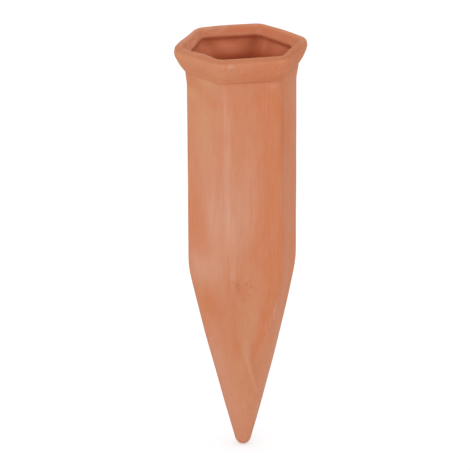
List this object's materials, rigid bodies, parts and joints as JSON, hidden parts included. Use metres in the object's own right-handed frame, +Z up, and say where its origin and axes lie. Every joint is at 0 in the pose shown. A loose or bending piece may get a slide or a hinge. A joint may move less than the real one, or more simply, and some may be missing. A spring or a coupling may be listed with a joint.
{
  "type": "self watering spike",
  "caption": "Hollow six-sided unglazed clay spike with a flared open collar and a blunt round point; an upturned bottle drains through its porous wall into the soil of a plant pot.",
  "frame": {"origin": "the lowest point of the blunt tip, on the spike's own axis", "axes": "+Z up along the axis, out of the open mouth; two opposite flats face -Y and +Y, two opposite corners point along X"},
  "size_m": [0.0538, 0.0482, 0.17],
  "materials": {
    "terracotta": "unglazed, matte, lightly dusty"
  },
  "bodies": {
    "root": {"clay_spike": "terracotta"}
  },
  "joints": []
}
